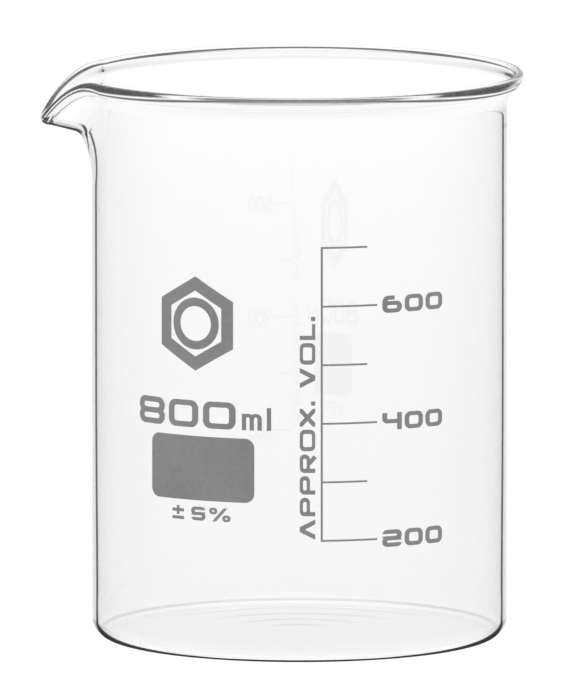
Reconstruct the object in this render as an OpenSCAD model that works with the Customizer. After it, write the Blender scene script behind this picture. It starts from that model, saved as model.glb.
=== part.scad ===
// Low-form laboratory beaker, 800 ml, with a pouring spout and fired grey enamel marks.
// Origin: centre of the base, on the surface the beaker stands on. +Z is up.
// The spout points along -X and the marks face -Y.

/* [Glass body] */
// Outside diameter of the straight wall
body_d = 98; // [80:1:110]
// Height from the base to the top of the rim
total_h = 134.4; // [130:0.2:150]
// Thickness of the straight wall
wall_t = 1; // [0.8:0.1:1.4]
// Thickness of the flat base
base_t = 1.2; // [1:0.1:2.2]
// Outside radius of the heel, where the wall meets the base
heel_r = 4.5; // [4:0.5:5.5]
// Inside radius of the heel
heel_inner_r = 3.5; // [3:0.5:4.5]

/* [Rim] */
// Radius of the rolled bead along the lip
bead_r = 0.95; // [0.8:0.05:1.1]
// How far the rim leans out from the wall, measured at mid thickness
rim_reach = 3.45; // [2.5:0.05:4]
// Steepest lean of the rim, in degrees from vertical
rim_lean = 50; // [40:1:60]
// Share of the rim's bend that turns outwards, the rest turns back up
rim_out_share = 0.64; // [0.5:0.02:0.7]

/* [Spout] */
// How far below the rim the spout starts to leave the wall
spout_h = 31; // [29:1:34]
// Half angle that the spout takes up at the lip, in degrees
spout_half_angle = 26; // [22:1:30]
// Half angle that the spout takes up where it starts, in degrees
spout_root_angle = 15; // [12:1:20]
// Length of the slow bend below the spout's floor
throat_len = 10.9; // [10:0.1:12]
// Lean at the end of the slow bend, in degrees
throat_lean = 25; // [20:1:28]
// Radius of the tight bend into the spout's floor
knee_r = 3; // [2.5:0.1:4]
// Lean of the spout's floor, in degrees from vertical
floor_lean = 76; // [70:1:80]
// Length of the spout's floor
floor_len = 6.4; // [5:0.1:7.5]
// Radius of the upturn that ends the spout's floor
upturn_r = 1.7; // [1.4:0.1:2.5]
// Lean at the spout's tip, in degrees
tip_lean = 16; // [5:1:30]
// How sharply the lip dips towards the tip
dip_power = 1.6; // [1.2:0.1:2]

/* [Scale] */
// Height of the lowest mark, 200 ml
first_mark_z = 29.3; // [24.4:0.1:30.4]
// Height between marks that are 100 ml apart
mark_pitch = 13.85; // [13:0.05:14.2]
// Number of marks
mark_count = 6; // [2:1:6]
// Width of the upright line
spine_w = 0.5; // [0.3:0.05:0.8]
// Width of a cross line
tick_w = 0.45; // [0.3:0.05:0.8]
// Place of the upright line, in degrees to the right of the front
spine_angle = 6.1; // [5.5:0.1:8]
// Place of the end of a short cross line, in degrees
short_tick_angle = 18.9; // [15:0.1:20]
// Place of the end of a long cross line, in degrees
long_tick_angle = 21.8; // [20:0.1:22.5]

/* [Printed characters] */
// Height of a scale numeral
numeral_h = 4.05; // [3.6:0.05:5]
// Width of a scale numeral
numeral_w = 5.1; // [4.4:0.1:5.3]
// Width of a scale numeral's level lines
numeral_t = 0.98; // [0.5:0.02:1.1]
// Place of the middle of a scale numeral group, in degrees
numeral_angle = 33.2; // [32:0.1:36]
// Cap height of the upright legend
legend_h = 3.65; // [3.4:0.05:3.8]
// Width of the upright legend's level lines
legend_t = 0.78; // [0.4:0.02:0.9]
// Height of the capacity numerals
capacity_h = 6.4; // [5.8:0.1:7]
// Width of the capacity numerals' level lines
capacity_t = 1.3; // [0.8:0.05:1.5]
// Height of the capacity line above the base
capacity_z = 55.3; // [54.4:0.1:57.4]
// Height of the small mark below the writing patch
small_mark_h = 3.25; // [3:0.05:3.5]
// Width of the small mark's level lines
small_mark_t = 0.74; // [0.4:0.02:0.8]
// Height of the small mark above the base
small_mark_z = 33.35; // [32.4:0.05:34.4]

/* [Patch and emblem] */
// Left edge of the writing patch, in degrees
patch_left = -44.9; // [-48:0.1:-42]
// Right edge of the writing patch, in degrees
patch_right = -12.5; // [-15:0.1:-11]
// Bottom of the writing patch
patch_z = 38.1; // [37.9:0.1:39.4]
// Height of the writing patch
patch_h = 15.2; // [12:0.1:16]
// Corner radius of the writing patch
patch_corner_r = 2.2; // [1:0.1:4]
// Height of the emblem, a plain ring inside a hexagon
emblem_h = 22.3; // [16:0.1:24]
// Height of the emblem's middle above the base
emblem_z = 79.9; // [77.4:0.1:83.4]
// Place of the emblem's middle, in degrees
emblem_angle = -29.9; // [-34:0.1:-26]

/* [Hidden] */

glass_colour = [0.86, 0.9, 0.91, 0.45];
enamel_colour = [0.52, 0.53, 0.54];

body_r = body_d / 2;
bore_r = body_r - wall_t;
mid_r = body_r - wall_t / 2;
round_fn = 256;
corner_fn = 32;

// The wall above spout_z is a section that is either turned or, at the spout, swept.
spout_z = total_h - spout_h;
lip_z = total_h - bead_r;
rim_bend_r = rim_reach / (1 - cos(rim_lean));
rim_out_r = rim_bend_r * rim_out_share;
rim_back_r = rim_bend_r - rim_out_r;
rim_rise = rim_bend_r * sin(rim_lean);
rim_straight = lip_z - spout_z - rim_rise;

// Length along the section over which the wall swells into the bead
bead_swell = 3;
// The section's points crowd towards the lip by this power
lip_crowding = 1.6;
section_steps = 22;
bead_steps = 8;

// Angle that the swept part fills, and the window cut in the turned part for it
window_half = spout_half_angle + 1;
sweep_half = window_half + 1;
sweep_steps = 28;
// The swept part is this much thinner than the turned part on each side, and its
// edges are sunk into the wall by sink, so that no two faces lie almost together.
seam = 0.02;
sink = 1;
window_clear = 30;

// Length of straight wall between spout_z and the slow bend
throat_start = 5.1;

// The enamel is a thin skin on the outside of the wall
enamel_t = 0.05;
skin_reach = 2;

// Upright lines of a character are this much wider than its level lines
stem_ratio = 1.27;
// Corner radius of a character, in line widths
corner_ratio = 1.5;
// Rounded corners take at most this share of a shape's width or height
corner_share = 0.49;

digit_gap = 0.78;

// The legend beside the upright line reads upwards. Letter widths are shares of its height.
legend_text = "APPROX. VOL.";
legend_left = 0.05;
legend_start = 0.3;
letter_gap = 0.75;
space_w = 1.65;

// The capacity line: numerals, then a smaller unit
capacity_w = 8.3;
capacity_pitch = 9.58;
capacity_last = -22.65;
unit_m_w = 4.8;
unit_m_h = 3.9;
unit_m_angle = -13.2;
unit_l_h = 5.4;
unit_l_angle = -8.4;
unit_t = 0.82;

// The small mark is a plain tolerance, plus or minus five per cent
small_mark_pitch = 5.6;
small_mark_angle = -29;
sign_w = 3.3;
five_w = 3.8;
percent_w = 5.4;

// The emblem is a ring inside a hexagon, sized as shares of its height
hexagon_line_share = 0.13;
ring_r_share = 0.275;
ring_line_share = 0.09;

function arc_len(r, turn) = r * turn * PI / 180;

// A middle line is a list of [length, turn in degrees] pieces. It starts on the wall,
// heading straight up, and a positive turn leans it outwards.
rim_line = [
    [rim_straight, 0],
    [arc_len(rim_out_r, rim_lean), rim_lean],
    [arc_len(rim_back_r, rim_lean), -rim_lean],
];
spout_line = [
    [throat_start, 0],
    [throat_len, throat_lean],
    [arc_len(knee_r, floor_lean - throat_lean), floor_lean - throat_lean],
    [floor_len, 0],
    [arc_len(upturn_r, floor_lean - tip_lean), tip_lean - floor_lean],
];

function line_len(line, i = 0) = i >= len(line) ? 0 : line[i][0] + line_len(line, i + 1);

// Move along one piece of a middle line, which starts at lean a and turns evenly
function piece_step(piece, d, a) =
    piece[1] == 0
        ? d * [sin(a), cos(a)]
        : let (r = piece[0] / (piece[1] * PI / 180), b = a + piece[1] * d / piece[0])
            r * [cos(a) - cos(b), sin(b) - sin(a)];

function walk(line, d, i = 0, a = 0, p = [0, 0]) =
    i == len(line) - 1 || d <= line[i][0]
        ? p + piece_step(line[i], d, a)
        : walk(line, d - line[i][0], i + 1, a + line[i][1], p + piece_step(line[i], line[i][0], a));

function line_point(line, s) = [mid_r, spout_z] + walk(line, s * line_len(line));

// 1 at the middle of the spout, 0 at its edge, with no kink at either
function swell(t) = t >= 1 ? 0 : 1 - t * t * (3 - 2 * t);

function spout_share(s, phi) =
    swell(abs(phi) / (spout_root_angle + (spout_half_angle - spout_root_angle) * s));

// Middle of the glass at share s along the section, phi degrees from the spout's middle
function mid_point(s, phi) =
    let (
        plain = line_point(rim_line, s),
        poured = line_point(spout_line, s),
        g = spout_share(s, phi)
    )
    [
        plain[0] + g * (poured[0] - plain[0]),
        plain[1] + pow(g, dip_power) * (poured[1] - plain[1])
    ];

probe = 0.001;
function heading(s, phi) =
    let (d = mid_point(min(1, s + probe), phi) - mid_point(max(0, s - probe), phi)) d / norm(d);

function half_thickness(s) =
    let (from_lip = (1 - s) * line_len(rim_line))
    wall_t / 2 + (bead_r - wall_t / 2) * swell(from_lip / bead_swell);

function section_share(i) = 1 - pow(1 - i / section_steps, lip_crowding);

function side_point(s, phi, side, cut) =
    let (h = heading(s, phi), m = mid_point(s, phi))
    m + side * (half_thickness(s) - cut) * [h[1], -h[0]];

function outer_side(phi, cut) =
    [for (i = [0:section_steps]) side_point(section_share(i), phi, 1, cut)];
function inner_side(phi, cut) =
    [for (i = [0:section_steps]) side_point(section_share(i), phi, -1, cut)];
function bead_cap(phi, cut) =
    let (h = heading(1, phi), m = mid_point(1, phi))
    [
        for (j = [1:bead_steps - 1])
            let (a = 180 * j / bead_steps)
            m + (bead_r - cut) * (cos(a) * [h[1], -h[0]] + sin(a) * h)
    ];
function reversed(list) = [for (i = [len(list) - 1:-1:0]) list[i]];
function sunk(side) = concat([side[0] - [0, sink]], [for (i = [1:section_steps]) side[i]]);

function section(phi) =
    concat(outer_side(phi, 0), bead_cap(phi, 0), reversed(inner_side(phi, 0)));
function swept_section(phi) =
    concat(sunk(outer_side(phi, seam)), bead_cap(phi, seam), reversed(sunk(inner_side(phi, seam))));

function sweep_angle(k) = sweep_half * (2 * k / sweep_steps - 1);
function around(p, a) = [p[0] * cos(a), p[0] * sin(a), p[1]];

// Filled outline, turned round the axis, of everything inside a wall radius and a floor
module cup_outline(r, floor_z, corner_r) {
    top = spout_z + 1;
    translate([0, floor_z])
        square([r - corner_r, top - floor_z]);
    translate([0, floor_z + corner_r])
        square([r, top - floor_z - corner_r]);
    translate([r - corner_r, floor_z + corner_r])
        circle(r = corner_r, $fn = round_fn);
}

module wall_outline() {
    intersection() {
        difference() {
            cup_outline(body_r, 0, heel_r);
            cup_outline(bore_r, base_t, heel_inner_r);
        }
        square([body_r + 1, spout_z]);
    }
    polygon(section(sweep_half));
}

// The swept wall of the spout. Its ends are closed as strips between its two sides.
module spout_sweep() {
    n = len(swept_section(0));
    last = sweep_steps;
    half = floor(n / 2);
    points = [
        for (k = [0:last])
            let (phi = sweep_angle(k))
            for (p = swept_section(phi)) around(p, 180 + phi)
    ];
    walls = [
        for (k = [0:last - 1], i = [0:n - 1])
            let (j = (i + 1) % n, a = k * n, b = a + n)
            [a + i, a + j, b + j, b + i]
    ];
    first_end = [
        for (i = [0:half - 1])
            let (o = i, q = n - 1 - i)
            i + 1 == q - 1 ? [o, q, o + 1] : [o, q, q - 1, o + 1]
    ];
    last_end = [for (f = first_end) [for (i = [len(f) - 1:-1:0]) f[i] + last * n]];
    polyhedron(points = points, faces = concat(walls, first_end, last_end), convexity = 6);
}

module spout_window() {
    rotate([0, 0, 180 - window_half])
        rotate_extrude(angle = 2 * window_half, $fn = round_fn)
            translate([bore_r - 5, spout_z])
                square([window_clear, window_clear + spout_h]);
}

module glass_vessel() {
    color(glass_colour) {
        difference() {
            rotate_extrude($fn = round_fn)
                wall_outline();
            spout_window();
        }
        spout_sweep();
    }
}

// Angles on the wall are measured to the right of the front, as the marks are read
function wall_angle(deg) = deg - 90;
function arc_deg(mm) = mm / body_r * 180 / PI;

// A patch of enamel skin between two angles and two heights
module skin(from_deg, to_deg, z, h) {
    rotate([0, 0, wall_angle(from_deg)])
        rotate_extrude(angle = to_deg - from_deg, $fn = round_fn)
            translate([body_r, z])
                square([enamel_t, h]);
}

// Presses a flat drawing, centred at deg and lying at height z, onto the wall
module pressed(deg, z, width, height) {
    half = arc_deg(width / 2) + 2;
    intersection() {
        skin(deg - half, deg + half, z - 1, height + 2);
        rotate([0, 0, wall_angle(deg)])
            translate([body_r - skin_reach, 0, z])
                rotate([90, 0, 90])
                    linear_extrude(2 * skin_reach)
                        children();
    }
}

module rounded(w, h, r) {
    c = min(r, corner_share * w, corner_share * h);
    translate([c, 0])
        square([w - 2 * c, h]);
    translate([0, c])
        square([w, h - 2 * c]);
    for (x = [c, w - c], y = [c, h - c])
        translate([x, y])
            circle(r = c, $fn = corner_fn);
}

module frame_ring(w, h, t) {
    stem = stem_ratio * t;
    r = corner_ratio * t;
    difference() {
        rounded(w, h, r);
        translate([stem, t])
            rounded(w - 2 * stem, h - 2 * t, r - t);
    }
}

// A ring with its left (side = 0) or right (side = 1) line missing
module open_ring(w, h, t, side) {
    stem = stem_ratio * t;
    cut_w = 1.2 * stem;
    difference() {
        frame_ring(w, h, t);
        translate([side == 0 ? -0.2 * stem : w - stem, t])
            square([cut_w, h - 2 * t]);
    }
}

module stroke(p, q, t) {
    a = atan2(q[1] - p[1], q[0] - p[0]);
    translate(p)
        rotate(a)
            translate([0, -t / 2])
                square([norm(q - p), t]);
}

// A wedge letter that stands on two feet, such as a lambda
module wedge(w, h, t) {
    foot = 1.5 * t;
    polygon([
        [0, 0],
        [foot, 0],
        [w / 2, h - 1.6 * t],
        [w - foot, 0],
        [w, 0],
        [w / 2 + foot / 2, h],
        [w / 2 - foot / 2, h],
    ]);
}

// One arch of a small m, with its feet on the line
module arch(w, h, t) {
    stem = stem_ratio * t;
    difference() {
        frame_ring(w, h, t);
        translate([-1, -1])
            square([w + 2, 1 + 2 * t]);
    }
    for (x = [0, w - stem])
        translate([x, 0])
            square([stem, 2.2 * t]);
}

// One character, drawn in a cell of width w and height h. Its level lines are t wide.
module character(c, w, h, t) {
    stem = stem_ratio * t;
    upper = (h + t) / 2;
    lift = (h - t) / 2;
    if (c == "0" || c == "O") {
        frame_ring(w, h, t);
    }
    if (c == "2") {
        translate([0, lift])
            open_ring(w, upper, t, 0);
        open_ring(w, upper, t, 1);
    }
    if (c == "5") {
        translate([0, lift])
            open_ring(w, upper, t, 1);
        open_ring(w, upper, t, 0);
    }
    if (c == "4") {
        difference() {
            translate([0, lift])
                frame_ring(w, upper, t);
            translate([-1, h - 1.5 * t])
                square([w + 2, 2 * t]);
        }
        for (x = [0, w - stem])
            translate([x, h - 2 * t])
                square([stem, 2 * t]);
        translate([w - stem, 0])
            square([stem, h - 2 * t]);
    }
    if (c == "6") {
        frame_ring(w, upper + t / 4, t);
        intersection() {
            frame_ring(w, h, t);
            union() {
                square([w / 2, h]);
                translate([0, h - t])
                    square([0.62 * w, t]);
            }
        }
    }
    if (c == "8") {
        frame_ring(w, upper, t);
        translate([0, lift])
            frame_ring(w, upper, t);
    }
    if (c == "A") {
        wedge(w, h, t);
    }
    if (c == "V") {
        translate([0, h])
            mirror([0, 1])
                wedge(w, h, t);
    }
    if (c == "P" || c == "R") {
        bowl = 0.66 * h;
        translate([0, h - bowl])
            frame_ring(w, bowl, t);
        square([stem, h - 2 * t]);
        translate([0, h - bowl])
            square([w / 2, t]);
    }
    if (c == "R") {
        stroke([w * 0.5, h * 0.4], [w - 0.7 * t, 0], 1.3 * t);
    }
    if (c == "X") {
        intersection() {
            union() {
                stroke([-t, -t], [w + t, h + t], 1.3 * t);
                stroke([-t, h + t], [w + t, -t], 1.3 * t);
            }
            square([w, h]);
        }
    }
    if (c == "L") {
        square([stem, h]);
        square([w, t]);
    }
    if (c == ".") {
        square(w);
    }
    if (c == "l") {
        square([w, h]);
    }
    if (c == "m") {
        half = (w + stem) / 2;
        arch(half, h, t);
        translate([w - half, 0])
            arch(half, h, t);
        translate([0, h - 2 * t])
            square([stem, 2 * t]);
    }
    if (c == "+-") {
        plus_h = h - 1.5 * t;
        square([w, t]);
        translate([0, h - (plus_h + t) / 2])
            square([w, t]);
        translate([(w - t) / 2, h - plus_h])
            square([t, plus_h]);
    }
    if (c == "%") {
        bowl = 0.48 * h;
        translate([0, h - bowl])
            frame_ring(0.38 * w, bowl, 0.75 * t);
        translate([0.62 * w, 0])
            frame_ring(0.38 * w, bowl, 0.75 * t);
        intersection() {
            stroke([0.12 * w, -0.2 * h], [0.88 * w, 1.2 * h], t);
            square([w, h]);
        }
    }
}

// A group of three numerals, level with its cross line
module numeral_group(digits, index) {
    pitch = arc_deg(numeral_w + digit_gap);
    mark_z = first_mark_z + index * mark_pitch;
    color(enamel_colour)
        for (i = [0:2])
            pressed(numeral_angle + (i - 1) * pitch, mark_z - numeral_h / 2, numeral_w, numeral_h)
                translate([-numeral_w / 2, 0])
                    character(digits[i], numeral_w, numeral_h, numeral_t);
}

module graduation_scale() {
    top = first_mark_z + (mark_count - 1) * mark_pitch;
    half_spine = arc_deg(spine_w / 2);
    color(enamel_colour)
        union() {
            skin(
                spine_angle - half_spine,
                spine_angle + half_spine,
                first_mark_z - tick_w / 2,
                top - first_mark_z + tick_w
            );
            for (i = [0:mark_count - 1])
                skin(
                    spine_angle - half_spine,
                    i % 2 == 0 ? long_tick_angle : short_tick_angle,
                    first_mark_z + i * mark_pitch - tick_w / 2,
                    tick_w
                );
        }
}

module numeral_200() {
    numeral_group(["2", "0", "0"], 0);
}

module numeral_400() {
    numeral_group(["4", "0", "0"], 2);
}

module numeral_600() {
    numeral_group(["6", "0", "0"], 4);
}

// Width of a letter of the legend
function letter_w(c) =
    c == "." ? stem_ratio * legend_t
    : c == " " ? space_w
    : c == "A" || c == "V" ? 1.32 * legend_h
    : c == "O" ? 1.39 * legend_h
    : c == "X" ? 1.15 * legend_h
    : c == "L" ? 1.02 * legend_h
    : 1.2 * legend_h;

// How far along the legend its letter number i starts
function letter_start(i) =
    i == 0 ? 0 : letter_start(i - 1) + letter_w(legend_text[i - 1]) + letter_gap;

module volume_legend() {
    middle = legend_left + arc_deg(legend_h / 2);
    color(enamel_colour)
        for (i = [0:len(legend_text) - 1])
            if (legend_text[i] != " ")
                let (w = letter_w(legend_text[i]))
                    pressed(middle, first_mark_z + legend_start + letter_start(i), legend_h, w)
                        translate([legend_h / 2, 0])
                            rotate(90)
                                character(legend_text[i], w, legend_h, legend_t);
}

module capacity_mark() {
    unit_l_w = stem_ratio * unit_t;
    color(enamel_colour) {
        for (i = [0:2])
            pressed(
                capacity_last - (2 - i) * arc_deg(capacity_pitch),
                capacity_z,
                capacity_w,
                capacity_h
            )
                translate([-capacity_w / 2, 0])
                    character(["8", "0", "0"][i], capacity_w, capacity_h, capacity_t);
        pressed(unit_m_angle, capacity_z, unit_m_w, unit_m_h)
            translate([-unit_m_w / 2, 0])
                character("m", unit_m_w, unit_m_h, unit_t);
        pressed(unit_l_angle, capacity_z, unit_l_w, unit_l_h)
            translate([-unit_l_w / 2, 0])
                character("l", unit_l_w, unit_l_h, unit_t);
    }
}

module writing_patch() {
    middle = (patch_left + patch_right) / 2;
    w = 2 * body_r * sin((patch_right - patch_left) / 2);
    color(enamel_colour)
        pressed(middle, patch_z, w, patch_h)
            translate([-w / 2, 0])
                rounded(w, patch_h, patch_corner_r);
}

module tolerance_mark() {
    chars = ["+-", "5", "%"];
    widths = [sign_w, five_w, percent_w];
    color(enamel_colour)
        for (i = [0:2])
            pressed(
                small_mark_angle + (i - 1) * arc_deg(small_mark_pitch),
                small_mark_z,
                widths[i],
                small_mark_h
            )
                translate([-widths[i] / 2, 0])
                    character(chars[i], widths[i], small_mark_h, small_mark_t);
}

// A regular hexagon standing on a point, with a ring inside it
module emblem() {
    outer = emblem_h / 2;
    hexagon_line = hexagon_line_share * emblem_h;
    ring_r = ring_r_share * emblem_h;
    color(enamel_colour)
        pressed(emblem_angle, emblem_z - outer, emblem_h, emblem_h)
            translate([0, outer]) {
                difference() {
                    rotate(30)
                        circle(r = outer, $fn = 6);
                    rotate(30)
                        circle(r = outer - hexagon_line / cos(30), $fn = 6);
                }
                difference() {
                    circle(r = ring_r, $fn = corner_fn);
                    circle(r = ring_r - ring_line_share * emblem_h, $fn = corner_fn);
                }
            }
}

glass_vessel();
graduation_scale();
numeral_200();
numeral_400();
numeral_600();
volume_legend();
capacity_mark();
writing_patch();
tolerance_mark();
emblem();
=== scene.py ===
import math

import bpy
import numpy as np
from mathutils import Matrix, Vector


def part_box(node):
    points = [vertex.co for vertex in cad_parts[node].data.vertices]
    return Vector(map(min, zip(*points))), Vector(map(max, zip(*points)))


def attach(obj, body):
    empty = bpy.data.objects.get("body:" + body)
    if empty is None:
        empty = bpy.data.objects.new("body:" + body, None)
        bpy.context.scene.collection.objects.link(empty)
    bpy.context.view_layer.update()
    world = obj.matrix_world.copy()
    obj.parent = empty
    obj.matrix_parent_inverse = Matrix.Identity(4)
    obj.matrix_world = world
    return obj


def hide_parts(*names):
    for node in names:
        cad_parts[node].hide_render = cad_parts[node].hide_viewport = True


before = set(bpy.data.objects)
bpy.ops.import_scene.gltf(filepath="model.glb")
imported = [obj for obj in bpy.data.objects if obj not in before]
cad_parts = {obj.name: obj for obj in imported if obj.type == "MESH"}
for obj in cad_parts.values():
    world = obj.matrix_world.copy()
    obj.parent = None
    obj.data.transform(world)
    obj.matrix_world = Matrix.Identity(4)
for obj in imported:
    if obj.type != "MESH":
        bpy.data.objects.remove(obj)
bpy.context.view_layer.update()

MM = 0.001

# ---------------------------------------------------------------- sizes from the frame
vessel_low, vessel_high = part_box("glass_vessel")
TOTAL_H = vessel_high.z
RIM_R = vessel_high.x

# ---------------------------------------------------------------- the glass section
WALL_T = 1.0 * MM
BASE_T = 1.2 * MM
HEEL_R = 4.5 * MM
HEEL_INNER_R = 3.5 * MM
BEAD_R = 0.95 * MM
BEAD_SWELL = 3.0 * MM
RIM_REACH = 3.45 * MM
RIM_LEAN = math.radians(50)
RIM_OUT_SHARE = 0.64
SPOUT_H = 31 * MM
SPOUT_HALF = math.radians(26)
SPOUT_ROOT = math.radians(15)
THROAT_START = 5.1 * MM
THROAT_LEN = 10.9 * MM
THROAT_LEAN = math.radians(25)
KNEE_R = 3.0 * MM
FLOOR_LEAN = math.radians(76)
FLOOR_LEN = 6.4 * MM
UPTURN_R = 1.7 * MM
TIP_LEAN = math.radians(16)
DIP_POWER = 1.6
# The shown glass lies this far inside the CAD wall, so that the enamel sits on it
ENAMEL_GAP = 0.01 * MM

MID_R = RIM_R - BEAD_R - RIM_REACH
BODY_R = MID_R + WALL_T / 2
LIP_Z = TOTAL_H - BEAD_R
SPOUT_Z = TOTAL_H - SPOUT_H
RIM_BEND_R = RIM_REACH / (1 - math.cos(RIM_LEAN))
RIM_OUT_R = RIM_BEND_R * RIM_OUT_SHARE
RIM_BACK_R = RIM_BEND_R - RIM_OUT_R
RIM_STRAIGHT = LIP_Z - SPOUT_Z - RIM_BEND_R * math.sin(RIM_LEAN)
FLARE_Z = SPOUT_Z + RIM_STRAIGHT

RIM_LINE = [
    (RIM_STRAIGHT, 0.0),
    (RIM_OUT_R * RIM_LEAN, RIM_LEAN),
    (RIM_BACK_R * RIM_LEAN, -RIM_LEAN),
]
SPOUT_LINE = [
    (THROAT_START, 0.0),
    (THROAT_LEN, THROAT_LEAN),
    (KNEE_R * (FLOOR_LEAN - THROAT_LEAN), FLOOR_LEAN - THROAT_LEAN),
    (FLOOR_LEN, 0.0),
    (UPTURN_R * (FLOOR_LEAN - TIP_LEAN), TIP_LEAN - FLOOR_LEAN),
]


def line_points(line, shares):
    """Points (r, z) at shares 0..1 along a middle line of (length, turn) pieces."""
    total = sum(piece[0] for piece in line)
    out = np.zeros((len(shares), 2))
    d = np.asarray(shares) * total
    start, lean, at = 0.0, 0.0, np.array([MID_R, SPOUT_Z])
    for i, (length, turn) in enumerate(line):
        last = i == len(line) - 1
        here = (d >= start) & ((d <= start + length) | last)
        out[here] = at + piece_step(length, turn, d[here] - start, lean)
        at = at + piece_step(length, turn, np.array([length]), lean)[0]
        start += length
        lean += turn
    return out


def piece_step(length, turn, d, lean):
    if turn == 0:
        return np.stack([d * math.sin(lean), d * math.cos(lean)], 1)
    r = length / turn
    b = lean + turn * d / length
    return np.stack([r * (math.cos(lean) - np.cos(b)), r * (np.sin(b) - math.sin(lean))], 1)


def swell(t):
    t = np.clip(t, 0, 1)
    return 1 - t * t * (3 - 2 * t)


SECTION_STEPS = 96
BEAD_STEPS = 36
LIP_CROWDING = 1.35


def smoothed(points, passes):
    """Rounds the joints between a middle line's arcs, keeping its ends."""
    for _ in range(passes):
        points[1:-1] = (points[:-2] + 2 * points[1:-1] + points[2:]) / 4
    return points


section_shares = 1 - (1 - np.linspace(0, 1, SECTION_STEPS + 1)) ** LIP_CROWDING
PLAIN = smoothed(line_points(RIM_LINE, section_shares), 6)
POURED = smoothed(line_points(SPOUT_LINE, section_shares), 6)


def section(phi):
    """Outer side, bead and inner side of the glass above SPOUT_Z, phi from the spout."""
    width = SPOUT_ROOT + (SPOUT_HALF - SPOUT_ROOT) * section_shares
    g = swell(abs(phi) / width)
    mid = np.empty_like(PLAIN)
    mid[:, 0] = PLAIN[:, 0] + g * (POURED[:, 0] - PLAIN[:, 0])
    mid[:, 1] = PLAIN[:, 1] + g**DIP_POWER * (POURED[:, 1] - PLAIN[:, 1])
    along = np.gradient(mid, axis=0)
    along /= np.linalg.norm(along, axis=1)[:, None]
    along[0] = (0, 1)
    out = np.stack([along[:, 1], -along[:, 0]], 1)
    half = WALL_T / 2 + (BEAD_R - WALL_T / 2) * swell((1 - section_shares) * plain_len() / BEAD_SWELL)
    a = np.linspace(0, math.pi, BEAD_STEPS + 1)[1:-1, None]
    cap = mid[-1] + BEAD_R * (np.cos(a) * out[-1] + np.sin(a) * along[-1])
    outer = mid + half[:, None] * out
    inner = mid - half[:, None] * out
    return outer, cap, inner


def plain_len():
    return sum(piece[0] for piece in RIM_LINE)


COLUMNS = 420
# Keeps the finer lip within the box of the coarser CAD mesh
LIP_INSET = 0.03 * MM
# How far below the lip its own shading reaches, outside and inside
LIP_OUTER = (1.7 * MM, 2.3 * MM)
LIP_INNER = (0.2 * MM, 0.6 * MM)
SPOUT_CROWDING = 0.45
WALL_ROWS = 26
HEEL_ROWS = 14
BASE_ROWS = 12


def base_side(r, floor_z, corner_r):
    """From the middle of the base out along it, round the heel and up the wall."""
    flat = np.linspace(0, 1, BASE_ROWS + 1)[1:, None] * (r - corner_r)
    flat = np.hstack([flat, np.full_like(flat, floor_z)])
    a = np.linspace(0, math.pi / 2, HEEL_ROWS + 1)[1:, None]
    heel = np.hstack([r - corner_r + corner_r * np.sin(a), floor_z + corner_r * (1 - np.cos(a))])
    up = np.linspace(0, 1, WALL_ROWS + 1)[1:-1, None]
    low = floor_z + corner_r
    wall = np.hstack([np.full_like(up, r), low + up * (SPOUT_Z - low)])
    return np.vstack([flat, heel, wall])


def build_vessel():
    """The whole vessel as one closed grid: each column is a section, outside then inside."""
    turn = np.linspace(0, 2 * math.pi, COLUMNS, endpoint=False)
    turn = turn - SPOUT_CROWDING * np.sin(turn)
    outside = base_side(BODY_R, 0, HEEL_R)
    inside = base_side(BODY_R - WALL_T, BASE_T, HEEL_INNER_R)
    # Shares of the lip's shading, and of the outer side, along one column
    below = (1 - section_shares) * plain_len()
    lip_outer, lip_inner = [swell((below - a) / (b - a)) for a, b in (LIP_OUTER, LIP_INNER)]
    cap_ones = np.ones(BEAD_STEPS - 1)
    lip = np.concatenate([0 * outside[:, 0], lip_outer, cap_ones, lip_inner[::-1], 0 * inside[:, 0]])
    outer_side = np.concatenate(
        [0 * outside[:, 0] + 1, 0 * lip_outer + 1, np.linspace(1, 0, BEAD_STEPS - 1),
         0 * lip_inner, 0 * inside[:, 0]]
    )
    columns = []
    pours = []
    for t in turn:
        phi = (t + math.pi) % (2 * math.pi) - math.pi
        pour = swell(abs(phi) / (SPOUT_ROOT + (SPOUT_HALF - SPOUT_ROOT) * section_shares))
        pours.append(np.concatenate(
            [0 * outside[:, 0], pour, pour[-1] * cap_ones, pour[::-1], 0 * inside[:, 0]]
        ))
        outer, cap, inner = section(phi)
        ring = np.vstack([outside, outer, cap, inner[::-1], inside[::-1]])
        away = math.pi + t
        ring = np.column_stack([ring[:, 0] * math.cos(away), ring[:, 0] * math.sin(away), ring[:, 1]])
        columns.append(ring)
    rows = len(columns[0])
    grid = np.array(columns)
    grid[:, : len(outside) + SECTION_STEPS // 2, :2] *= 1 - ENAMEL_GAP / BODY_R
    grid[:, len(outside) + SECTION_STEPS // 2 :, :2] *= 1 - LIP_INSET / BODY_R
    points = [tuple(p) for column in grid for p in column]
    under = len(points)
    points += [(0, 0, 0), (0, 0, BASE_T)]
    faces = []
    for c in range(COLUMNS):
        a, b = c * rows, ((c + 1) % COLUMNS) * rows
        faces.append((under, b, a))
        for i in range(rows - 1):
            faces.append((a + i, b + i, b + i + 1, a + i + 1))
        faces.append((under + 1, a + rows - 1, b + rows - 1))
    mesh = bpy.data.meshes.new("vessel")
    mesh.from_pydata(points, [], faces)
    mesh.shade_smooth()
    for name, shares, middle in (
        ("lip", np.tile(lip, COLUMNS), (0, 0)),
        ("outer", np.tile(outer_side, COLUMNS), (1, 0)),
        ("pour", np.concatenate(pours), (0, 0)),
    ):
        values = np.concatenate([shares, middle])
        mesh.attributes.new(name, "FLOAT", "POINT").data.foreach_set("value", values)
    mesh.update()
    obj = bpy.data.objects.new("vessel", mesh)
    bpy.context.scene.collection.objects.link(obj)
    return obj


# ---------------------------------------------------------------- materials
GLASS_IOR = 1.47
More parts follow.
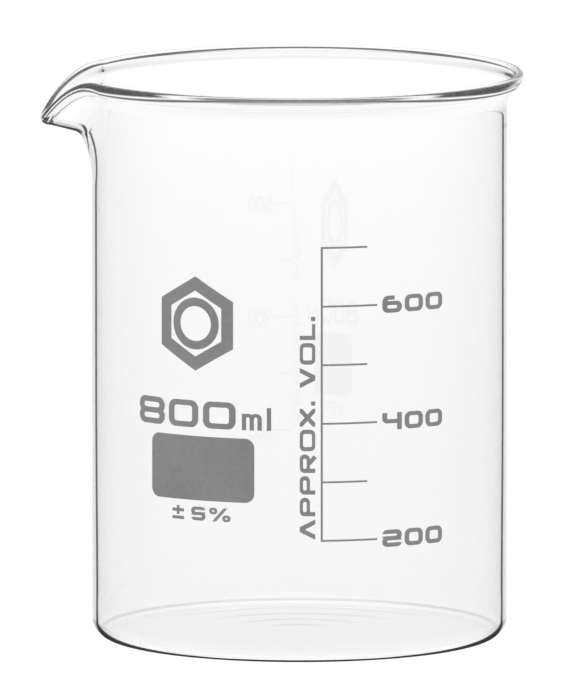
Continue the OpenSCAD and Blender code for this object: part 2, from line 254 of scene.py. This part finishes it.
# Painted shade: brightness kept by each surface, by how much of the light it mirrors, greying the glass
# towards its outline
WALL_SHADE_STOPS = [
    (0.036, 1.0),
    (0.06, 0.96),
    (0.12, 0.9),
    (0.18, 0.83),
    (0.26, 0.71),
    (0.33, 0.66),
    (1.0, 0.55),
]
# Painted shade: brightness kept by a surface seen square on, by height, darker towards the bottom
HEIGHT_SHADE_STOPS = [(0.0, 0.936), (0.33, 0.938), (0.6, 0.951), (0.77, 0.961), (0.93, 0.98), (1.0, 0.99)]
# Brightness kept by the base, clear of the painted height shade
BASE_PAINTED_BRIGHTNESS = 1.0
# Height over which the wall's shading ends at the flare of the rim
FLARE_FADE = 2 * MM
# Light lost in the glass, per metre
ABSORPTION = 8
# Heights over which the wall's shading starts above the heel
UPRIGHT_FROM = (0.6 * HEEL_R, HEEL_R)
# Painted shade lines: how edge-on the wall and heel start and stop looking dark, by how little they
# face down
LINE_FROM = [
    (0.0, 0.6),
    (0.05, 0.55),
    (0.1, 0.6),
    (0.25, 0.66),
    (0.5, 0.72),
    (1.0, 0.78),
]
LINE_TO = [(0.0, 1.0), (0.1, 1.0), (0.5, 0.9), (1.0, 0.82)]
# How softly the line starts and stops
LINE_SOFT = 0.02
# It is lightest under the foot, where the glass faces straight down
LINE_SHARE = [(0.0, 0.7), (0.02, 0.75), (0.04, 1.0), (1.0, 1.0)]
# How dark the line is on the wall and on the heel, and the heights between the two
WALL_DARK = 0.88
HEEL_DARK = 0.95
HEEL_FADE = (0.5 * HEEL_R, 1.5 * HEEL_R)
# Above the heel the line keeps this far edge-on, less where the glass leans out to the spout
HIGH_LINE = 0.805
LEAN_DROP = 0.5
LEAN_POWER = 0.75
HIGH_HALF = 0.021
HIGH_SOFT = 0.014
# Heights over which it takes over from the heel's line, and the lean at which it fades out
HIGH_FROM = (2 * HEEL_R, 3 * HEEL_R)
HIGH_LEAN = (-0.36, -0.26)
# Towards the foot the line sits further in
FOOT_SHIFT = 0.02
FOOT_FROM = 8 * MM
FOOT_TO = 60 * MM
# A second painted dark line that sweeps down from under the spout
SWEEP_LINE = [(0.3, 0.55), (0.7, 0.7), (0.8, 0.9)]
SWEEP_DARK = 0.9
SWEEP_HALF = 0.04
SWEEP_LEAN = (-0.74, -0.6)
SWEEP_END = (-0.25, -0.2)
# The spout's underside is painted dark from this far edge-on, where it isn't facing straight down
POUR_LIMIT = 0.66
POUR_SOFT = 0.06
POUR_DARK = 0.88
POUR_LEAN = (-0.7, -0.5)
POUR_SHARE = (0.02, 0.2)
# The lip's painted dark lines go by its bend: its tilt, plus how edge-on it is, less LIP_CURVE times
# the square of that. Their ramps start LIP_SHIFT below nought and are LIP_SPAN long.
LIP_CURVE = 0.55
LIP_SHIFT = 0.5
LIP_SPAN = 2.0
LIP_UPPER = [(0.1, 0), (0.15, 1), (0.4, 1), (0.65, 0.93), (0.88, 0.55), (0.98, 0)]
LIP_LOWER = [(-0.04, 0), (-0.005, 1), (0.03, 1), (0.07, 0)]
LIP_FRONT = [(-0.13, 0), (-0.06, 0.5), (0.0, 0.75), (0.14, 0.95), (0.4, 1), (0.7, 0.7), (0.9, 0)]
LIP_INSIDE = [(0.05, 0), (0.2, 1), (0.42, 1), (0.6, 0)]
# How edge-on the upper line starts and stops, and where the line at the front stops
UPPER_START = (0.18, 0.25)
UPPER_STOP = (0.62, 0.86)
FRONT_STOP = (0.08, 0.17)
# Shares at which the bead changes from inside to outside, and where the inside line ends
OUTSIDE_SHARE = (0.45, 0.55)
INSIDE_SHARE = (0.75, 1.0)
UPPER_DARK = 0.9
LOWER_DARK = 0.85
FRONT_DARK = 0.8
INSIDE_DARK = 0.85
# The inside line moves out to the lip's outline along the spout
INSIDE_SHIFT = 0.7
# Faint painted shade on the inside: a dark ring where the base turns up, and dark ripples in the base
RING_START = (0.68, 0.72)
RING_STOP = (0.84, 0.88)
RING_DARK = 0.2
RIPPLE_START = 11.3 * MM
RIPPLE_PITCH = 9.4 * MM
RIPPLE_POWER = 14
RIPPLE_REACH = 44 * MM
RIPPLE_DARK = 0.13
RIPPLE_BEHIND = (0.5, 1.0)
RIPPLE_EDGE = (0.8 * RIPPLE_REACH, RIPPLE_REACH)
RIPPLE_FLAT = (0.97, 0.99)
WOBBLE_SCALE = 35
WOBBLE = 0.5 * RIPPLE_PITCH
# Heights of the inside's heel and of the base, for the painted shade marks and the painted height shade
BOWL_TOP = (BASE_T + HEEL_INNER_R, 2 * HEEL_R)
BASE_TOP = (BASE_T, 1.2 * BASE_T)
# Colour of the painted shade lines on the glass
PAINTED_LINE_COLOR = (0.02, 0.02, 0.022, 1)

# The enamel: its two greys, where they start, and the fine and broad unevenness
ENAMEL_DARK = (0.17, 0.17, 0.172, 1)
ENAMEL_LIGHT = (0.23, 0.23, 0.232, 1)
ENAMEL_STOPS = (0.3, 0.7)
ENAMEL_ROUGHNESS = 0.45
GRAIN_SCALE = 900
GRAIN_DETAIL = 4
CLOUD_SCALE = 60
CLOUD_DETAIL = 3
GRAIN_SHARE = 0.4

FLOOR_COLOR = (0.9, 0.9, 0.9, 1)
FLOOR_ROUGHNESS = 0.9


def new_material(name):
    mat = bpy.data.materials.new(name)
    mat.use_nodes = True
    tree = mat.node_tree
    return mat, tree, tree.nodes["Principled BSDF"]


def math_node(tree, operation, *values, clamp=False):
    """A Math node: each value is a number or a socket to link."""
    node = tree.nodes.new("ShaderNodeMath")
    node.operation = operation
    node.use_clamp = clamp
    for socket, value in zip(node.inputs, values):
        if isinstance(value, (int, float)):
            socket.default_value = value
        else:
            tree.links.new(value, socket)
    return node.outputs[0]


def ramp_node(tree, value, stops):
    ramp = tree.nodes.new("ShaderNodeValToRGB")
    fill_ramp(ramp.color_ramp, stops)
    tree.links.new(value, ramp.inputs["Fac"])
    return ramp.outputs["Color"]


def range_node(tree, value, source, target):
    node = tree.nodes.new("ShaderNodeMapRange")
    node.inputs["From Min"].default_value, node.inputs["From Max"].default_value = source
    node.inputs["To Min"].default_value, node.inputs["To Max"].default_value = target
    tree.links.new(value, node.inputs["Value"])
    return node.outputs["Result"]


def step_node(tree, value, low, high):
    """0 below low, 1 above high, smooth between."""
    node = tree.nodes.new("ShaderNodeMapRange")
    node.interpolation_type = "SMOOTHSTEP"
    node.inputs["From Min"].default_value = low
    node.inputs["From Max"].default_value = high
    tree.links.new(value, node.inputs["Value"])
    return node.outputs["Result"]


def attribute(tree, name):
    node = tree.nodes.new("ShaderNodeAttribute")
    node.attribute_name = name
    return node.outputs["Fac"]


def lip_ramp(tree, value, stops):
    """A ramp whose stops run from -LIP_SHIFT to LIP_SPAN - LIP_SHIFT."""
    place = math_node(tree, "DIVIDE", math_node(tree, "ADD", value, LIP_SHIFT), LIP_SPAN)
    return ramp_node(tree, place, [((at + LIP_SHIFT) / LIP_SPAN, level) for at, level in stops])


def glass_material():
    """Clear borosilicate glass, with painted shade: the dark lines that its edges show are painted on
    by a dark diffuse mixed in.
    """
    mat, tree, shader = new_material("clear_glass")
    shader.inputs["IOR"].default_value = GLASS_IOR
    shader.inputs["Roughness"].default_value = 0.0
    shader.inputs["Transmission Weight"].default_value = 1.0

    def product(*values):
        result = values[0]
        for value in values[1:]:
            result = math_node(tree, "MULTIPLY", result, value)
        return result

    def inverse(value):
        return math_node(tree, "SUBTRACT", 1.0, value)

    place = tree.nodes.new("ShaderNodeTexCoord")
    axes = tree.nodes.new("ShaderNodeSeparateXYZ")
    tree.links.new(place.outputs["Object"], axes.inputs["Vector"])
    x, y, z = axes.outputs
    geometry = tree.nodes.new("ShaderNodeNewGeometry")
    normal = tree.nodes.new("ShaderNodeSeparateXYZ")
    tree.links.new(geometry.outputs["Normal"], normal.inputs["Vector"])
    nz = normal.outputs["Z"]
    front = inverse(geometry.outputs["Backfacing"])
    outer = attribute(tree, "outer")
    lip = attribute(tree, "lip")
    pour_share = attribute(tree, "pour")
    weight = tree.nodes.new("ShaderNodeLayerWeight")
    weight.inputs["Blend"].default_value = 0.5
    edge_on = weight.outputs["Facing"]
    mirrored = tree.nodes.new("ShaderNodeFresnel")
    mirrored.inputs["IOR"].default_value = GLASS_IOR

    # The upright wall: painted grey shade near its outline, with a painted dark line a little inside it
    upright = product(
        step_node(tree, z, *UPRIGHT_FROM),
        inverse(step_node(tree, z, FLARE_Z - FLARE_FADE, FLARE_Z + FLARE_FADE)),
        outer,
    )
    grey = ramp_node(tree, mirrored.outputs["Fac"], WALL_SHADE_STOPS)
    wall = math_node(tree, "MAXIMUM", grey, inverse(upright))

    # The painted dark line near the foot, which widens out to the outline round the heel
    down = math_node(tree, "ADD", nz, 1.0)
    foot = inverse(step_node(tree, z, FOOT_FROM, FOOT_TO))
    inward = math_node(tree, "ADD", edge_on, product(foot, FOOT_SHIFT))
    start = ramp_node(tree, down, LINE_FROM)
    stop = ramp_node(tree, down, LINE_TO)
    after = math_node(tree, "DIVIDE", math_node(tree, "SUBTRACT", inward, start), LINE_SOFT, clamp=True)
    past = math_node(tree, "DIVIDE", math_node(tree, "SUBTRACT", inward, stop), LINE_SOFT, clamp=True)
    below_flare = inverse(step_node(tree, z, FLARE_Z - FLARE_FADE, FLARE_Z + FLARE_FADE))
    depth = range_node(tree, z, HEEL_FADE, (HEEL_DARK, WALL_DARK))
    low_line = product(after, inverse(past), depth, ramp_node(tree, down, LINE_SHARE))

    def band(centre, half):
        away = math_node(tree, "ABSOLUTE", math_node(tree, "SUBTRACT", inward, centre))
        return inverse(step_node(tree, away, half - HIGH_SOFT, half + HIGH_SOFT))

    high = step_node(tree, z, *HIGH_FROM)
    lean = math_node(tree, "POWER", math_node(tree, "MAXIMUM", product(nz, -1.0), 0.0), LEAN_POWER)
    high_at = math_node(tree, "SUBTRACT", HIGH_LINE, product(lean, LEAN_DROP))
    high_line = product(band(high_at, HIGH_HALF), step_node(tree, nz, *HIGH_LEAN), WALL_DARK)
    sweep = product(
        band(ramp_node(tree, down, SWEEP_LINE), SWEEP_HALF), step_node(tree, nz, *SWEEP_LEAN),
        inverse(step_node(tree, nz, *SWEEP_END)), SWEEP_DARK,
    )
    line = math_node(
        tree, "ADD",
        product(low_line, inverse(high)), product(math_node(tree, "MAXIMUM", high_line, sweep), high),
    )
    line = product(line, below_flare, outer, front)

    # The spout's outside: painted shade, dark from a little inside its outline right out to it
    pour = product(
        step_node(tree, edge_on, POUR_LIMIT, POUR_LIMIT + POUR_SOFT),
        inverse(step_node(tree, nz, *POUR_LEAN)), step_node(tree, pour_share, *POUR_SHARE),
        outer, front, POUR_DARK,
    )

    # The lip: two painted dark lines outside, which meet at the front, and one inside
    tilt = math_node(tree, "MULTIPLY", math_node(tree, "ARCSINE", nz), 2 / math.pi)
    curve = math_node(tree, "MULTIPLY", math_node(tree, "MULTIPLY", edge_on, edge_on), LIP_CURVE)
    bend = math_node(tree, "SUBTRACT", math_node(tree, "ADD", tilt, edge_on), curve)
    upper = product(
        lip_ramp(tree, bend, LIP_UPPER), step_node(tree, edge_on, *UPPER_START),
        inverse(step_node(tree, edge_on, *UPPER_STOP)), UPPER_DARK,
    )
    lower = product(lip_ramp(tree, bend, LIP_LOWER), LOWER_DARK)
    facing = product(
        lip_ramp(tree, bend, LIP_FRONT), inverse(step_node(tree, edge_on, *FRONT_STOP)), FRONT_DARK
    )
    outside = math_node(tree, "MAXIMUM", math_node(tree, "MAXIMUM", upper, lower), facing)
    is_outside = step_node(tree, outer, *OUTSIDE_SHARE)
    moved = math_node(tree, "SUBTRACT", bend, product(pour_share, INSIDE_SHIFT))
    inside = product(
        lip_ramp(tree, moved, LIP_INSIDE), inverse(is_outside),
        step_node(tree, lip, *INSIDE_SHARE), INSIDE_DARK,
    )
    rim = product(math_node(tree, "ADD", product(outside, is_outside), inside), lip, front)

    # The inside of the base: a faint painted dark ring where it turns up, and painted dark ripples
    # behind the middle
    bowl = product(inverse(outer), front, inverse(step_node(tree, z, *BOWL_TOP)))
    ring = product(
        step_node(tree, nz, *RING_START), inverse(step_node(tree, nz, *RING_STOP)), bowl, RING_DARK
    )
    radius = math_node(
        tree, "SQRT",
        math_node(tree, "ADD", math_node(tree, "MULTIPLY", x, x), math_node(tree, "MULTIPLY", y, y)),
    )
    wobble = tree.nodes.new("ShaderNodeTexNoise")
    wobble.inputs["Scale"].default_value = WOBBLE_SCALE
    tree.links.new(place.outputs["Object"], wobble.inputs["Vector"])
    warped = math_node(tree, "ADD", radius, product(wobble.outputs["Fac"], WOBBLE))
    past_start = math_node(tree, "SUBTRACT", warped, RIPPLE_START)
    phase = math_node(tree, "MULTIPLY", past_start, math.pi / RIPPLE_PITCH)
    wave = math_node(tree, "ABSOLUTE", math_node(tree, "COSINE", phase))
    crest = math_node(tree, "POWER", wave, RIPPLE_POWER)
    behind = math_node(tree, "DIVIDE", y, math_node(tree, "MAXIMUM", radius, MM), clamp=True)
    ripple = product(
        crest, step_node(tree, behind, *RIPPLE_BEHIND), inverse(step_node(tree, radius, *RIPPLE_EDGE)),
        step_node(tree, nz, *RIPPLE_FLAT), bowl, RIPPLE_DARK,
    )

    # Painted shade: the glass's colour greys by height and towards its outline
    height = math_node(tree, "DIVIDE", z, TOTAL_H)
    plain = ramp_node(tree, height, HEIGHT_SHADE_STOPS)
    on_base = inverse(step_node(tree, z, *BASE_TOP))
    plain = math_node(tree, "MAXIMUM", plain, product(on_base, BASE_PAINTED_BRIGHTNESS))
    tree.links.new(product(plain, wall), shader.inputs["Base Color"])

    # Painted shade: every dark line and mark is mixed in from a dark diffuse, not made by the light
    dark = line
    for share in (pour, rim, ring, ripple):
        dark = math_node(tree, "MAXIMUM", dark, share)
    shade = tree.nodes.new("ShaderNodeBsdfDiffuse")
    shade.inputs["Color"].default_value = PAINTED_LINE_COLOR
    both = tree.nodes.new("ShaderNodeMixShader")
    tree.links.new(dark, both.inputs["Fac"])
    tree.links.new(shader.outputs["BSDF"], both.inputs[1])
    tree.links.new(shade.outputs["BSDF"], both.inputs[2])
    output = tree.nodes["Material Output"]
    tree.links.new(both.outputs["Shader"], output.inputs["Surface"])
    absorb = tree.nodes.new("ShaderNodeVolumeAbsorption")
    absorb.inputs["Color"].default_value = (0, 0, 0, 1)
    absorb.inputs["Density"].default_value = ABSORPTION
    tree.links.new(absorb.outputs["Volume"], output.inputs["Volume"])
    return mat


def fill_ramp(ramp, stops):
    while len(ramp.elements) < len(stops):
        ramp.elements.new(1.0)
    for element, (position, level) in zip(ramp.elements, stops):
        element.position = position
        element.color = (level, level, level, 1)


def enamel_material():
    """Satin grey fired enamel, faintly uneven where the print is thicker."""
    mat, tree, shader = new_material("grey_enamel")
    place = tree.nodes.new("ShaderNodeTexCoord")
    grain = tree.nodes.new("ShaderNodeTexNoise")
    grain.inputs["Scale"].default_value = GRAIN_SCALE
    grain.inputs["Detail"].default_value = GRAIN_DETAIL
    cloud = tree.nodes.new("ShaderNodeTexNoise")
    cloud.inputs["Scale"].default_value = CLOUD_SCALE
    cloud.inputs["Detail"].default_value = CLOUD_DETAIL
    tree.links.new(place.outputs["Object"], grain.inputs["Vector"])
    tree.links.new(place.outputs["Object"], cloud.inputs["Vector"])
    both = tree.nodes.new("ShaderNodeMix")
    both.data_type = "FLOAT"
    both.inputs["Factor"].default_value = GRAIN_SHARE
    tree.links.new(cloud.outputs["Fac"], both.inputs["A"])
    tree.links.new(grain.outputs["Fac"], both.inputs["B"])
    ramp = tree.nodes.new("ShaderNodeValToRGB")
    for element, position, grey in zip(
        ramp.color_ramp.elements, ENAMEL_STOPS, (ENAMEL_DARK, ENAMEL_LIGHT)
    ):
        element.position = position
        element.color = grey
    tree.links.new(both.outputs["Result"], ramp.inputs["Fac"])
    tree.links.new(ramp.outputs["Color"], shader.inputs["Base Color"])
    shader.inputs["Roughness"].default_value = ENAMEL_ROUGHNESS
    return mat


def floor_material():
    mat, tree, shader = new_material("pale_floor")
    shader.inputs["Base Color"].default_value = FLOOR_COLOR
    shader.inputs["Roughness"].default_value = FLOOR_ROUGHNESS
    shader.inputs["Specular IOR Level"].default_value = 0.0
    return mat


# ---------------------------------------------------------------- the object
vessel = build_vessel()
vessel.data.materials.append(glass_material())
vessel.visible_shadow = False
vessel.visible_diffuse = False
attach(vessel, "root")
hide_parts("glass_vessel")

enamel = enamel_material()
for name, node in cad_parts.items():
    if name != "glass_vessel":
        for slot in node.material_slots:
            slot.material = enamel

# ---------------------------------------------------------------- stage, light, camera
# The floor's disc, just under the base
FLOOR_R = 6.0
FLOOR_SIDES = 96
FLOOR_DROP = 0.2 * MM
bpy.ops.mesh.primitive_circle_add(vertices=FLOOR_SIDES, radius=FLOOR_R, fill_type="NGON")
floor = bpy.context.object
floor.name = "floor"
floor.location.z = -FLOOR_DROP
floor.data.materials.append(floor_material())

# Brightness of the even light all round
SKY = 0.96
world = bpy.data.worlds.new("studio")
bpy.context.scene.world = world
world.use_nodes = True
world.node_tree.nodes["Background"].inputs["Color"].default_value = (1, 1, 1, 1)
world.node_tree.nodes["Background"].inputs["Strength"].default_value = SKY


def area_light(name, place, target, size, power):
    light = bpy.data.lights.new(name, "AREA")
    light.shape = "DISK"
    light.size = size
    light.energy = power
    obj = bpy.data.objects.new(name, light)
    obj.location = place
    obj.rotation_euler = (Vector(target) - Vector(place)).to_track_quat("-Z", "Y").to_euler()
    bpy.context.scene.collection.objects.link(obj)
    return obj


LAMP_HEIGHT = 3.0
LAMP_SIZE = 4.0
LAMP_POWER = 30
area_light("overhead", (0, 0, LAMP_HEIGHT), (0, 0, 0), LAMP_SIZE, LAMP_POWER)

CAMERA_DISTANCE = 6.0
CAMERA_PITCH = math.radians(7.56)
# Height of the view, and the point in its middle, at the beaker's axis
VIEW_H = 165.33 * MM
AIM = Vector((-2.0 * MM, 0, TOTAL_H / 2 + 0.8 * MM))
SENSOR = 36.0
VIEW_END = 50

camera_data = bpy.data.cameras.new("camera")
camera = bpy.data.objects.new("camera", camera_data)
bpy.context.scene.collection.objects.link(camera)
bpy.context.scene.camera = camera
back = Vector((0, -math.cos(CAMERA_PITCH), math.sin(CAMERA_PITCH)))
camera.location = AIM + CAMERA_DISTANCE * back
camera.rotation_euler = (-back).to_track_quat("-Z", "Y").to_euler()
camera_data.sensor_width = SENSOR
camera_data.lens = SENSOR * CAMERA_DISTANCE / VIEW_H
camera_data.clip_end = VIEW_END

bpy.context.scene.view_settings.view_transform = "Standard"
